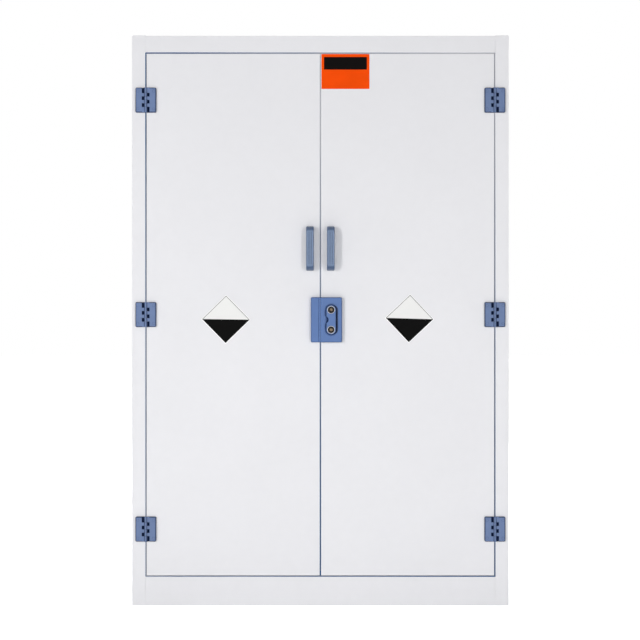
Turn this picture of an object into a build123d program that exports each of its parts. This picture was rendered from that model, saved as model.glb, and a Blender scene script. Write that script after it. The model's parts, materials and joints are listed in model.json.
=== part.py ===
from build123d import *
import math
import os

# Two-door reagent cabinet of welded plastic sheet, with spill trays that pull out inside.
# Frame: +Z up, +X to the right of someone who faces the doors, doors facing -Y.
# The origin is on the floor, under the middle of the carcass. Sizes are in millimetres.

# ---- Carcass -------------------------------------------------------------------------------
cabinet_width = 1090.0
cabinet_height = 1650.0
cabinet_depth = 460.0
wall_sheet = 8.0  # sides, back, top and floor
stile_width = 39.0
top_rail_height = 50.0
rail_step = 1.5  # the top rail ends this much below the tops of the stiles
plinth_height = 84.0
bearer_width = 20.0
joint_bevel = 0.6  # small bevel that shows where a rail meets a stile
corner_round = 2.5  # outer top corners of the stiles

# ---- Doors ---------------------------------------------------------------------------------
door_gap = 3.0  # all round the doors and between them
door_sheet = 8.0
edge_bar_depth = 12.0  # bars welded behind the door sheet, along its edges
edge_bar_width = 30.0
meeting_bar_width = 64.0  # wider bar behind the handle and the lock
edge_bar_lip = 1.0  # how far the bars reach past the sheet, into the gap
rib_height = 40.0
seat_gap = 0.5  # between a shut door and the strips that it closes on
door_bevel = 0.5
butt_gap = 0.2  # hairline between bars that meet end to end

stop_strip_thickness = 8.0
stop_strip_lap = 10.0  # width of strip fixed to the frame
stop_strip_show = 12.0  # width of strip inside the opening

# ---- Hinges --------------------------------------------------------------------------------
hinge_height = 72.0
hinge_half_width = 30.0
leaf_thickness = 9.0
leaf_inner_edge = 11.0  # from the hinge axis to the thick part of a leaf
leaf_corner = 4.0
leaf_bevel = 2.6
web_thickness = 2.0  # thin floor of the leaf beside the knuckles
web_edge = 4.6  # from the hinge axis to the edge of that floor
knuckle_radius = 5.3
barrel_lift = 0.3  # air between the barrel and the faces of door and frame
end_knuckle = 16.0
knuckle_gap = 0.3
hinge_pin_radius = 2.0
hinge_pin_recess = 1.0
running_gap = 0.05  # radial clearance of a pin in its bore
hinge_from_end = 135.0  # from a door's end to the middle of its outer hinge

# ---- Screws, all put in from behind --------------------------------------------------------
screw_radius = 2.0
screw_head_radius = 4.0
screw_head_height = 2.8
screw_socket = 2.4  # across the flats
screw_socket_depth = 1.6
screw_hole_gap = 0.2
screw_head_gap = 0.3
leaf_screw_bite = 6.0
leaf_screw_from_axis = 23.0
leaf_screw_pitch = 52.0

# ---- Handles -------------------------------------------------------------------------------
handle_width = 22.0
handle_length = 128.0
handle_reach = 38.0
handle_from_seam = 30.0
handle_centre_z = 1033.0
handle_foot_lip = 5.0
handle_shoulder = 17.0  # length of each rounded end
handle_finger_depth = 25.0
handle_foot_length = 16.0
handle_finger_round = 12.0
handle_edge_round = 3.0
handle_groove_width = 1.2
handle_groove_depth = 0.6
handle_groove_pitch = 5.0
handle_groove_count = 3
handle_screw_bite = 12.0

# ---- Lock ----------------------------------------------------------------------------------
lock_height = 130.0
lock_centre_z = 827.0
lock_thickness = 16.0
lock_wall = 4.0
lock_case_far_edge = 62.5  # from the seam
lock_keeper_far_edge = 27.5
lock_split = 0.4  # between case and keeper
lock_round = 3.5
lock_bevel = 2.2
keeper_groove_width = 1.2
keeper_groove_from_edge = 4.0
lock_screw_bite = 10.0
lock_boss_radius = 5.0
lock_boss_sink = 1.5  # how far a boss stands into the walls of its corner
keeper_screw_pitch = 100.0

faceplate_width = 27.0
faceplate_length = 84.0
faceplate_thickness = 8.0
faceplate_notch_radius = 10.0
faceplate_notch_depth = 6.0
faceplate_round = 1.0
cylinder_from_seam = 30.8
cylinder_pitch = 57.3

sleeve_radius = 10.2
sleeve_rim_radius = 11.2
sleeve_rim = 1.2
sleeve_dish_radius = 9.2  # hollow round the plug
sleeve_dish_depth = 3.0
plug_radius = 6.5
keyway_width = 1.6
keyway_height = 8.0
keyway_depth = 8.0
crank_radius = 10.0
crank_hub_radius = 6.0
crank_eye_radius = 4.0
crank_pin_radius = 2.5
crank_gap = 0.5  # the crank's arm, in front of the bolt and behind the case's wall
bolt_height = 16.0
bolt_thickness = 7.0
bolt_seat_gap = 0.3
bolt_tip_recess = 0.5  # the drawn-back tip, behind the case's edge
bolt_tail = 5.0  # material behind the crank's slot
bolt_slot_gap = 0.4
bolt_pocket_gap = 0.5
bolt_pocket_spare = 3.0

# ---- Flush bolts of the left door ----------------------------------------------------------
rod_radius = 4.0
rod_length = 160.0
rod_from_seam = 24.5
rod_behind_strip = 1.5
rod_end_clear = 3.0  # between a drawn-back rod and the strip that it passes
rod_thumb_radius = 3.0
rod_thumb_length = 18.0
guide_width = 24.0
guide_height = 16.0
guide_wall = 4.0
guide_inset = 14.0  # from a rod's end to the nearer guide
guide_pitch = 115.0
rod_keeper_height = 10.0
rod_keeper_gap = 0.8

# ---- Spill trays ---------------------------------------------------------------------------
tray_levels = {"lower": 473.0, "middle": 862.0, "upper": 1251.0}  # undersides
tray_side_gap = 4.0  # between a tray and the stop strips that it passes
tray_depth = 380.0
tray_height = 50.0
tray_wall = 5.0
tray_back_gap = 5.0
tray_round = 12.0
tray_lip_reach = 8.0
tray_lip_height = 6.0
tray_lift = 0.3  # a tray above its runners
runner_thickness = 8.0
runner_rest = 18.0  # width of runner under a tray
runner_rib_height = 20.0
runner_rib_gap = 0.5
runner_front_gap = 1.5  # behind the stop strips

# ---- Labels --------------------------------------------------------------------------------
label_thickness = 0.4
notice_width = 139.0
notice_height = 101.0
notice_inset = (1.5, 1.0)  # from the right door's inner and top edges
diamond_side = 101.0
diamond_places = {"left": (-273.5, 828.2, -0.75), "right": (257.8, 830.5, -1.7)}  # x, z, tilt

# ---- Places worked out from the sizes above ------------------------------------------------
half_width = cabinet_width / 2
inner_half = half_width - wall_sheet
front_y = -cabinet_depth / 2
back_y = cabinet_depth / 2
inner_back_y = back_y - wall_sheet
opening_half = half_width - stile_width
opening_top = cabinet_height - top_rail_height
opening_bottom = plinth_height
door_thickness = door_sheet + edge_bar_depth
door_rear_y = front_y + door_thickness
frame_rear_y = door_rear_y + seat_gap
strip_rear_y = frame_rear_y + stop_strip_thickness
strip_inner_half = opening_half - stop_strip_show

door_outer = opening_half - door_gap
door_inner = door_gap / 2
door_bottom = opening_bottom + door_gap
door_top = opening_top - door_gap

hinge_axis_x = opening_half - door_gap / 2
hinge_axis_y = front_y - barrel_lift - knuckle_radius
hinge_levels = {
    "lower": door_bottom + hinge_from_end,
    "middle": (door_bottom + door_top) / 2,
    "upper": door_top - hinge_from_end,
}
middle_knuckle = (hinge_height - 2 * end_knuckle) / 4

lock_front_y = front_y - lock_thickness
faceplate_front_y = lock_front_y - faceplate_thickness
lock_case_edge = lock_split / 2
lock_top = lock_centre_z + lock_height / 2
lock_bottom = lock_centre_z - lock_height / 2
cylinder_levels = {
    "lower": lock_centre_z - cylinder_pitch / 2,
    "upper": lock_centre_z + cylinder_pitch / 2,
}
crank_side = crank_radius * math.sin(math.pi / 4)  # sideways reach of the crank at each end
bolt_travel = 2 * crank_side
bolt_rise = (crank_radius + crank_side) / 2  # from a cylinder's axis up to its bolt's middle
bolt_rear_y = front_y - bolt_seat_gap
bolt_front_y = bolt_rear_y - bolt_thickness
bolt_tip_x = lock_case_edge + bolt_tip_recess
rod_y = strip_rear_y + rod_behind_strip + rod_radius
tray_half = strip_inner_half - tray_side_gap
tray_back_y = inner_back_y - tray_back_gap
tray_front_y = tray_back_y - tray_depth

front_face = Plane.XZ.offset(-front_y)  # drawn in x and z, rising towards the front
SIDES = (("left", -1), ("right", 1))

os.makedirs("parts", exist_ok=True)


def write(piece: BuildPart, name: str) -> None:
    """Name the finished piece and write it to its own file."""
    piece.part.label = name
    export_step(piece.part, f"parts/{name}.step")


def slab(x_ends: tuple, y_ends: tuple, z_ends: tuple, mode: Mode = Mode.ADD) -> None:
    """Add or cut a square-edged slab between two ends along each axis."""
    ends = (x_ends, y_ends, z_ends)
    with Locations(tuple(sum(pair) / 2 for pair in ends)):
        Box(*[abs(pair[1] - pair[0]) for pair in ends], mode=mode)


def facing_rear(points: list, rear_y: float) -> list:
    """Places at (x, z) points on a rear face, looking backwards, for holes from behind."""
    return [Location(Plane((x, rear_y, z), z_dir=(0, 1, 0))) for x, z in points]


def screw_holes(points: list, rear_y: float, depth: float) -> None:
    """Cut clearance holes with let-in heads, from behind."""
    with Locations(*facing_rear(points, rear_y)):
        CounterBoreHole(
            radius=screw_radius + screw_hole_gap,
            counter_bore_radius=screw_head_radius + screw_head_gap,
            counter_bore_depth=screw_head_height,
            depth=depth,
        )


def screw_group(points: list, rear_y: float, length: float) -> BuildPart:
    """Screws put in from behind at (x, z) points, heads flush with the rear face."""
    with BuildPart() as screws:
        with BuildSketch(Plane.XZ.offset(-rear_y)):
            with Locations(*points):
                Circle(screw_head_radius)
        extrude(amount=screw_head_height)
        with BuildSketch(Plane.XZ.offset(-rear_y)):
            with Locations(*points):
                Circle(screw_radius)
        extrude(amount=length)
        with BuildSketch(Plane.XZ.offset(-rear_y)):
            with Locations(*points):
                RegularPolygon(screw_socket / 2, 6, major_radius=False)
        extrude(amount=screw_socket_depth, mode=Mode.SUBTRACT)
    return screws


def leaf_screw_points(side: int, towards: int) -> list:
    """Screw places of one side's leaves, on the side of the axis that towards gives."""
    x = side * hinge_axis_x + towards * leaf_screw_from_axis
    shifts = (-leaf_screw_pitch / 2, leaf_screw_pitch / 2)
    return [(x, level + shift) for level in hinge_levels.values() for shift in shifts]


def handle_screw_points(side: int) -> list:
    """Screw places in the two feet of one handle."""
    shift = (handle_length - handle_foot_length) / 2
    return [(side * handle_from_seam, handle_centre_z + up * shift) for up in (-1, 1)]


# ---- Carcass pieces ------------------------------------------------------------------------
for side_name, side in SIDES:
    with BuildPart() as side_panel:
        slab((side * inner_half, side * half_width), (frame_rear_y, back_y), (0, cabinet_height))
    write(side_panel, f"side_panel_{side_name}")

    with BuildPart() as front_stile:
        slab((side * opening_half, side * half_width), (front_y, frame_rear_y), (0, cabinet_height))
        outer_top = front_stile.edges().filter_by(Axis.Y).group_by(Axis.Z)[-1].sort_by(Axis.X)
        fillet(outer_top[-1 if side > 0 else 0], corner_round)
        screw_holes(leaf_screw_points(side, side), frame_rear_y, frame_rear_y - front_y)
    write(front_stile, f"front_stile_{side_name}")

with BuildPart() as back_panel:
    slab((-inner_half, inner_half), (inner_back_y, back_y), (0, cabinet_height - wall_sheet))
write(back_panel, "back_panel")

with BuildPart() as top_panel:
    slab((-inner_half, inner_half), (frame_rear_y, back_y), (cabinet_height - wall_sheet, cabinet_height))
write(top_panel, "top_panel")

with BuildPart() as floor_panel:
    floor_ends = (plinth_height - wall_sheet, plinth_height)
    slab((-inner_half, inner_half), (frame_rear_y, inner_back_y), floor_ends)
write(floor_panel, "floor_panel")

for rail_name, rail_ends in (
    ("top_rail", (opening_top, cabinet_height - rail_step)),
    ("plinth_rail", (0, opening_bottom)),
):
    with BuildPart() as rail:
        slab((-opening_half, opening_half), (front_y, frame_rear_y), rail_ends)
        front_ends = rail.edges().filter_by(Axis.Z).group_by(Axis.Y)[0]
        chamfer(front_ends, joint_bevel)
    write(rail, rail_name)

with BuildPart() as base_bearers:
    for bearer_x in (bearer_width / 2 - inner_half, 0, inner_half - bearer_width / 2):
        slab(
            (bearer_x - bearer_width / 2, bearer_x + bearer_width / 2),
            (frame_rear_y, inner_back_y),
            (0, plinth_height - wall_sheet),
        )
write(base_bearers, "base_bearers")

with BuildPart() as stop_strips:
    strip_depth = (frame_rear_y, strip_rear_y)
    for side_name, side in SIDES:
        side_ends = (side * strip_inner_half, side * (opening_half + stop_strip_lap))
        slab(side_ends, strip_depth, (opening_bottom, opening_top + stop_strip_lap))
    across = (butt_gap - strip_inner_half, strip_inner_half - butt_gap)
    slab(across, strip_depth, (opening_top - stop_strip_show, opening_top + stop_strip_lap))
    slab(across, strip_depth, (opening_bottom, opening_bottom + stop_strip_show))
write(stop_strips, "stop_strips")

# ---- Tray runners and trays ----------------------------------------------------------------
with BuildPart() as tray_runners:
    runner_length = (strip_rear_y + runner_front_gap, inner_back_y)
    rib_inner = tray_half + runner_rib_gap
    for level in tray_levels.values():
        rest_top = level - tray_lift
        for side_name, side in SIDES:
            ledge = (side * (tray_half - runner_rest), side * inner_half)
            slab(ledge, runner_length, (rest_top - runner_thickness, rest_top))
            rib = (side * rib_inner, side * (rib_inner + runner_thickness))
            slab(rib, runner_length, (rest_top - runner_thickness, rest_top + runner_rib_height))
write(tray_runners, "tray_runners")

for level_name, level in tray_levels.items():
    with BuildPart() as tray:
        with BuildSketch(Plane.XY.offset(level)):
            with Locations((0, (tray_front_y + tray_back_y) / 2)):
                RectangleRounded(2 * tray_half, tray_depth, tray_round)
        extrude(amount=tray_height)
        with BuildSketch(Plane.XY.offset(level + tray_wall)):
            with Locations((0, (tray_front_y + tray_back_y) / 2)):
                RectangleRounded(
                    2 * (tray_half - tray_wall), tray_depth - 2 * tray_wall, tray_round - tray_wall
                )
        extrude(amount=tray_height - tray_wall, mode=Mode.SUBTRACT)
        slab(
            (tray_round - tray_half, tray_half - tray_round),
            (tray_front_y - tray_lip_reach, tray_front_y),
            (level + tray_height - tray_lip_height, level + tray_height),
        )
    write(tray, f"tray_{level_name}")

# ---- Hinges --------------------------------------------------------------------------------
knuckle_tops = [hinge_height / 2]
for knuckle_height in (end_knuckle, *[middle_knuckle] * 4, end_knuckle):
    knuckle_tops.append(knuckle_tops[-1] - knuckle_height)
knuckle_rows = list(zip(knuckle_tops[1:], knuckle_tops[:-1]))


def hinge_leaf(axis_x: float, centre_z: float, towards: int) -> BuildPart:
    """One leaf with its three knuckles, on the side of the axis that towards gives."""
    rows = knuckle_rows[0::2] if towards > 0 else knuckle_rows[1::2]
    height_ends = (centre_z - hinge_height / 2, centre_z + hinge_height / 2)
    with BuildPart() as leaf:
        with BuildSketch(front_face):
            with Locations((axis_x + towards * (leaf_inner_edge + hinge_half_width) / 2, centre_z)):
                Rectangle(hinge_half_width - leaf_inner_edge, hinge_height)
        extrude(amount=leaf_thickness)
        corners = leaf.edges().filter_by(Axis.Y).sort_by(Axis.X)
        fillet(corners[-2:] if towards > 0 else corners[:2], leaf_corner)
        front_edges = leaf.faces().sort_by(Axis.Y)[0].edges()
        inner_x = axis_x + towards * leaf_inner_edge
        chamfer([edge for edge in front_edges if abs(edge.center().X - inner_x) > leaf_corner], leaf_bevel)

        web_ends = (axis_x + towards * web_edge, inner_x)
        slab(web_ends, (front_y - web_thickness, front_y), height_ends)
        for row_bottom, row_top in rows:
            row_ends = (
                centre_z + row_bottom + knuckle_gap / 2,
                centre_z + row_top - knuckle_gap / 2,
            )
            slab((axis_x, inner_x), (front_y - leaf_thickness, front_y), row_ends)
            with BuildSketch(Plane.XY.offset(row_ends[0])):
                with Locations((axis_x, hinge_axis_y)):
                    Circle(knuckle_radius)
            extrude(amount=row_ends[1] - row_ends[0])
        with BuildSketch(Plane.XY.offset(height_ends[0])):
            with Locations((axis_x, hinge_axis_y)):
                Circle(hinge_pin_radius + running_gap)
        extrude(amount=hinge_height, mode=Mode.SUBTRACT)

        screw_x = axis_x + towards * leaf_screw_from_axis
        with BuildSketch(front_face):
            with Locations((screw_x, centre_z)):
                with GridLocations(0, leaf_screw_pitch, 1, 2):
                    Circle(screw_radius + running_gap)
        extrude(amount=leaf_screw_bite, mode=Mode.SUBTRACT)
    return leaf


for side_name, side in SIDES:
    for level_name, level in hinge_levels.items():
        frame_leaf = hinge_leaf(side * hinge_axis_x, level, side)
        write(frame_leaf, f"{side_name}_{level_name}_frame_leaf")
        door_leaf = hinge_leaf(side * hinge_axis_x, level, -side)
        write(door_leaf, f"{side_name}_{level_name}_door_leaf")

with BuildPart() as hinge_pins:
    for level in hinge_levels.values():
        with BuildSketch(Plane.XY.offset(level - hinge_height / 2 + hinge_pin_recess)):
            with Locations((-hinge_axis_x, hinge_axis_y), (hinge_axis_x, hinge_axis_y)):
                Circle(hinge_pin_radius)
        extrude(amount=hinge_height - 2 * hinge_pin_recess)
write(hinge_pins, "hinge_pins")

leaf_bite = leaf_screw_bite - running_gap
frame_screws = screw_group(
    leaf_screw_points(-1, -1) + leaf_screw_points(1, 1),
    frame_rear_y,
    frame_rear_y - front_y + leaf_bite,
)
write(frame_screws, "frame_hinge_screws")

# ---- Doors ---------------------------------------------------------------------------------
boss_inset = lock_wall + lock_boss_radius - lock_boss_sink
case_boss_points = [
    (x, z)
    for x in (lock_case_edge + boss_inset, lock_case_far_edge - boss_inset)
    for z in (lock_bottom + boss_inset, lock_top - boss_inset)
]
keeper_middle_x = -(lock_case_edge + lock_keeper_far_edge) / 2
keeper_screw_points = [
    (keeper_middle_x, lock_centre_z + up * keeper_screw_pitch / 2) for up in (-1, 1)
]
lock_screw_points = {"left": keeper_screw_points, "right": case_boss_points}
rib_levels = [door_bottom + (door_top - door_bottom) * third / 3 for third in (1, 2)]

for side_name, side in SIDES:
    hinge_points = leaf_screw_points(side, -side)
    grip_points = handle_screw_points(side)
    all_points = hinge_points + grip_points + lock_screw_points[side_name]

    with BuildPart() as door_panel:
        sheet_depth = (front_y, front_y + door_sheet)
        slab((side * door_inner, side * door_outer), sheet_depth, (door_bottom, door_top))
        chamfer(door_panel.faces().sort_by(Axis.Y)[0].edges(), door_bevel)
        with Locations(*facing_rear(all_points, front_y + door_sheet)):
            Hole(screw_radius + screw_hole_gap, door_sheet)
    write(door_panel, f"{side_name}_door_panel")

    bar_depth_ends = (front_y + door_sheet, door_rear_y)
    meeting_ends = (
        side * (door_inner - edge_bar_lip),
        side * (door_inner - edge_bar_lip + meeting_bar_width),
    )
    hinge_side_ends = (
        side * (door_outer + edge_bar_lip - edge_bar_width),
        side * (door_outer + edge_bar_lip),
    )
    bar_height = (door_bottom - edge_bar_lip, door_top + edge_bar_lip)
    with BuildPart() as door_edge_bars:
        slab(meeting_ends, bar_depth_ends, bar_height)
        slab(hinge_side_ends, bar_depth_ends, bar_height)
        between = (meeting_ends[1] + side * butt_gap, hinge_side_ends[0] - side * butt_gap)
        slab(between, bar_depth_ends, (bar_height[0], bar_height[0] + edge_bar_width))
        slab(between, bar_depth_ends, (bar_height[1] - edge_bar_width, bar_height[1]))
        screw_holes(all_points, door_rear_y, edge_bar_depth)
    write(door_edge_bars, f"{side_name}_door_edge_bars")

    with BuildPart() as door_ribs:
        for rib_z in rib_levels:
            slab(between, bar_depth_ends, (rib_z - rib_height / 2, rib_z + rib_height / 2))
    write(door_ribs, f"{side_name}_door_ribs")

    hinge_screws = screw_group(hinge_points, door_rear_y, door_thickness + leaf_bite)
    write(hinge_screws, f"{side_name}_door_hinge_screws")

    # Bow handle: a side profile as wide as the handle, with a gap for the fingers.
    half_length = handle_length / 2
    shoulder_z = half_length - handle_shoulder
    with BuildPart() as handle:
        profile_plane = Plane(
            origin=(side * handle_from_seam - handle_width / 2, front_y, handle_centre_z),
            x_dir=(0, -1, 0),
            z_dir=(1, 0, 0),
        )
        with BuildSketch(profile_plane):
            with BuildLine():
                Polyline(
                    (handle_foot_lip, half_length),
                    (0, half_length),
                    (0, -half_length),
                    (handle_foot_lip, -half_length),
                )
                for end in (-1, 1):
                    EllipticalCenterArc(
                        center=(handle_foot_lip, end * shoulder_z),
                        x_radius=handle_reach - handle_foot_lip,
                        y_radius=handle_shoulder,
                        start_angle=-90 if end < 0 else 0,
                        arc_size=90,
                    )
                Line((handle_reach, -shoulder_z), (handle_reach, shoulder_z))
            make_face()
            gap_half = half_length - handle_foot_length
            with BuildLine():
                FilletPolyline(
                    (0, -gap_half),
                    (handle_finger_depth, -gap_half),
                    (handle_finger_depth, gap_half),
                    (0, gap_half),
                    radius=handle_finger_round,
                )
                Line((0, gap_half), (0, -gap_half))
            make_face(mode=Mode.SUBTRACT)
        extrude(amount=handle_width)
        crown = [
            edge
            for face in handle.faces().filter_by(Axis.X)
            for edge in face.outer_wire().edges()
            if edge.center().Y < front_y - handle_foot_lip
            and abs(edge.center().Z - handle_centre_z) < half_length
            and (edge.geom_type == GeomType.ELLIPSE or edge.center().Y < front_y - handle_reach + 1)
        ]
        fillet(crown, handle_edge_round)
        with BuildSketch(Plane.XZ.offset(handle_reach - front_y)):
            with Locations((side * handle_from_seam, handle_centre_z)):
                with GridLocations(handle_groove_pitch, 0, handle_groove_count, 1):
                    Rectangle(handle_groove_width, 2 * shoulder_z)
        extrude(amount=-handle_groove_depth, mode=Mode.SUBTRACT)
        with BuildSketch(front_face):
            with Locations(*grip_points):
                Circle(screw_radius + running_gap)
        extrude(amount=handle_screw_bite, mode=Mode.SUBTRACT)
    write(handle, f"{side_name}_handle")

    handle_screws = screw_group(
        grip_points, door_rear_y, door_thickness + handle_screw_bite - running_gap
    )
    write(handle_screws, f"{side_name}_handle_screws")

    lock_screws = screw_group(
        lock_screw_points[side_name], door_rear_y, door_thickness + lock_screw_bite - running_gap
    )
    write(lock_screws, "lock_keeper_screws" if side < 0 else "lock_case_screws")

# ---- Lock keeper on the left door ----------------------------------------------------------
bolt_levels = {name: level + bolt_rise for name, level in cylinder_levels.items()}
pocket_half = bolt_height / 2 + bolt_pocket_gap
pocket_depth = bolt_thickness + bolt_seat_gap + bolt_pocket_gap
pocket_end_x = bolt_tip_x - bolt_travel - bolt_pocket_spare

with BuildPart() as lock_keeper:
    slab((-lock_keeper_far_edge, -lock_case_edge), (lock_front_y, front_y), (lock_bottom, lock_top))
    outer_corners = lock_keeper.edges().filter_by(Axis.Y).sort_by(Axis.X)[:2]
    fillet(outer_corners, lock_round)
    front_edges = lock_keeper.faces().sort_by(Axis.Y)[0].edges()
    chamfer([edge for edge in front_edges if edge.center().X < -lock_case_edge - 1], lock_bevel)
    slab(
        (
            -lock_case_edge - keeper_groove_from_edge - keeper_groove_width,
            -lock_case_edge - keeper_groove_from_edge,
        ),
        (lock_front_y, lock_front_y + keeper_groove_width),
        (lock_bottom, lock_top),
        mode=Mode.SUBTRACT,
    )
    for level in bolt_levels.values():
        slab(
            (pocket_end_x, -lock_case_edge),
            (front_y - pocket_depth, front_y),
            (level - pocket_half, level + pocket_half),
            mode=Mode.SUBTRACT,
        )
    with BuildSketch(front_face):
        with Locations(*keeper_screw_points):
            Circle(screw_radius + running_gap)
    extrude(amount=lock_screw_bite, mode=Mode.SUBTRACT)
write(lock_keeper, "lock_keeper")

# ---- Lock case on the right door -----------------------------------------------------------
cylinder_points = [(cylinder_from_seam, level) for level in cylinder_levels.values()]
with BuildPart() as lock_case:
    slab((lock_case_edge, lock_case_far_edge), (lock_front_y, front_y), (lock_bottom, lock_top))
    fillet(lock_case.edges().filter_by(Axis.Y).sort_by(Axis.X)[-2:], lock_round)
    front_edges = lock_case.faces().sort_by(Axis.Y)[0].edges()
    chamfer([edge for edge in front_edges if edge.center().X > lock_case_edge + 1], lock_bevel)
    slab(
        (lock_case_edge + lock_wall, lock_case_far_edge - lock_wall),
        (lock_front_y + lock_wall, front_y),
        (lock_bottom + lock_wall, lock_top - lock_wall),
        mode=Mode.SUBTRACT,
    )
    with BuildSketch(front_face):
        with Locations(*case_boss_points):
            Circle(lock_boss_radius)
    extrude(amount=lock_thickness - lock_wall)
    for level in bolt_levels.values():
        slab(
            (lock_case_edge, lock_case_edge + lock_wall),
            (front_y - pocket_depth, front_y),
            (level - pocket_half, level + pocket_half),
            mode=Mode.SUBTRACT,
        )
    with BuildSketch(front_face):
        with Locations(*case_boss_points):
            Circle(screw_radius + running_gap)
    extrude(amount=lock_screw_bite, mode=Mode.SUBTRACT)
    with BuildSketch(Plane.XZ.offset(-lock_front_y)):
        with Locations(*cylinder_points):
            Circle(sleeve_radius + running_gap)
    extrude(amount=-lock_wall, mode=Mode.SUBTRACT)
write(lock_case, "lock_case")

with BuildPart() as lock_faceplate:
    with BuildSketch(Plane.XZ.offset(-lock_front_y)):
        with Locations((cylinder_from_seam, lock_centre_z)):
            SlotOverall(faceplate_length, faceplate_width, rotation=90)
        notch_x = cylinder_from_seam - faceplate_width / 2 + faceplate_notch_depth - faceplate_notch_radius
        with Locations((notch_x, lock_centre_z)):
            Circle(faceplate_notch_radius, mode=Mode.SUBTRACT)
        with Locations(*cylinder_points):
            Circle(sleeve_radius + running_gap, mode=Mode.SUBTRACT)
    extrude(amount=faceplate_thickness)
    rim = lock_faceplate.faces().sort_by(Axis.Y)[0].outer_wire().edges()
    fillet(rim, faceplate_round)
write(lock_faceplate, "lock_faceplate")

with BuildPart() as lock_sleeves:
    with BuildSketch(Plane.XZ.offset(-lock_front_y - lock_wall)):
        with Locations(*cylinder_points):
            Circle(sleeve_radius)
            Circle(plug_radius, mode=Mode.SUBTRACT)
    extrude(amount=lock_wall + faceplate_thickness)
    with BuildSketch(Plane.XZ.offset(-faceplate_front_y)):
        with Locations(*cylinder_points):
            Circle(sleeve_rim_radius)
            Circle(plug_radius, mode=Mode.SUBTRACT)
    extrude(amount=sleeve_rim)
    rim = lock_sleeves.faces().filter_by(Axis.Y).sort_by(Axis.Y)[:2].edges()
    chamfer([edge for edge in rim if edge.radius > plug_radius + 1], sleeve_rim / 2)
    with BuildSketch(Plane.XZ.offset(sleeve_rim - faceplate_front_y)):
        with Locations(*cylinder_points):
            Circle(sleeve_dish_radius)
    extrude(amount=-sleeve_dish_depth, mode=Mode.SUBTRACT)
write(lock_sleeves, "lock_sleeves")

arm_front_y = lock_front_y + lock_wall + crank_gap
arm_rear_y = bolt_front_y - crank_gap
for level_name, level in cylinder_levels.items():
    pin_place = (cylinder_from_seam + crank_side, level + crank_side)
    with BuildPart() as lock_plug:
        with BuildSketch(Plane.XZ.offset(-arm_front_y)):
            with Locations((cylinder_from_seam, level)):
                Circle(plug_radius - running_gap)
        extrude(amount=arm_front_y - faceplate_front_y + sleeve_rim)
        with BuildSketch(Plane.XZ.offset(-arm_rear_y)):
            with Locations((cylinder_from_seam, level)):
                Circle(crank_hub_radius)
            with Locations(pin_place):
                Circle(crank_eye_radius)
            make_hull()
        extrude(amount=arm_rear_y - arm_front_y)
        with BuildSketch(Plane.XZ.offset(-bolt_rear_y)):
            with Locations(pin_place):
                Circle(crank_pin_radius)
        extrude(amount=bolt_rear_y - arm_rear_y)
        with BuildSketch(Plane.XZ.offset(sleeve_rim - faceplate_front_y)):
            with Locations((cylinder_from_seam, level)):
                Rectangle(keyway_width, keyway_height)
        extrude(amount=-keyway_depth, mode=Mode.SUBTRACT)
    write(lock_plug, f"lock_plug_{level_name}")

    slot_width = 2 * (crank_pin_radius + bolt_slot_gap)
    slot_height = crank_radius - crank_side + slot_width
    bolt_end_x = pin_place[0] + slot_width / 2 + bolt_tail
    with BuildPart() as lock_bolt:
        slab(
            (bolt_tip_x, bolt_end_x),
            (bolt_front_y, bolt_rear_y),
            (bolt_levels[level_name] - bolt_height / 2, bolt_levels[level_name] + bolt_height / 2),
        )
        with BuildSketch(Plane.XZ.offset(-bolt_rear_y)):
            with Locations((pin_place[0], bolt_levels[level_name])):
                SlotOverall(slot_height, slot_width, rotation=90)
        extrude(amount=bolt_thickness, mode=Mode.SUBTRACT)
    write(lock_bolt, f"lock_bolt_{level_name}")

# ---- Flush bolts that hold the left door shut ----------------------------------------------
rod_x = -rod_from_seam
rod_top_end = opening_top - stop_strip_show - rod_end_clear
rod_bottom_end = opening_bottom + stop_strip_show + rod_end_clear
guide_ends_y = (door_rear_y, rod_y + rod_radius + guide_wall)
guide_levels = [
    end + inward * (guide_inset + step * guide_pitch)
    for end, inward in ((rod_top_end, -1), (rod_bottom_end, 1))
    for step in (0, 1)
]

with BuildPart() as flush_bolt_guides:
    for level in guide_levels:
        slab(
            (rod_x - guide_width / 2, rod_x + guide_width / 2),
            guide_ends_y,
            (level - guide_height / 2, level + guide_height / 2),
        )
        with BuildSketch(Plane.XY.offset(level - guide_height / 2)):
            with Locations((rod_x, rod_y)):
                Circle(rod_radius + running_gap)
        extrude(amount=guide_height, mode=Mode.SUBTRACT)
write(flush_bolt_guides, "flush_bolt_guides")

for end_name, end, inward in (("top", rod_top_end, -1), ("bottom", rod_bottom_end, 1)):
    with BuildPart() as flush_bolt:
        with BuildSketch(Plane.XY.offset(end)):
            with Locations((rod_x, rod_y)):
                Circle(rod_radius)
        extrude(amount=inward * rod_length)
        chamfer(flush_bolt.edges().filter_by(GeomType.CIRCLE), 1)
        with BuildSketch(Plane.XZ.offset(-rod_y)):
            with Locations((rod_x, end + inward * (guide_inset + guide_pitch / 2))):
                Circle(rod_thumb_radius)
        extrude(amount=-rod_thumb_length)
    write(flush_bolt, f"flush_bolt_{end_name}")

with BuildPart() as flush_bolt_keepers:
    for floor_z, ceiling_z in (
        (opening_top - stop_strip_show + rod_end_clear, opening_top + stop_strip_lap),
        (opening_bottom, opening_bottom + rod_keeper_height),
    ):
        slab(
            (rod_x - guide_width / 2, rod_x + guide_width / 2),
            (strip_rear_y, rod_y + rod_radius + guide_wall),
            (floor_z, ceiling_z),
        )
        socket_half = rod_radius + rod_keeper_gap
        slab(
            (rod_x - socket_half, rod_x + socket_half),
            (rod_y - socket_half, rod_y + socket_half),
            (floor_z, ceiling_z),
            mode=Mode.SUBTRACT,
        )
write(flush_bolt_keepers, "flush_bolt_keepers")

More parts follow.
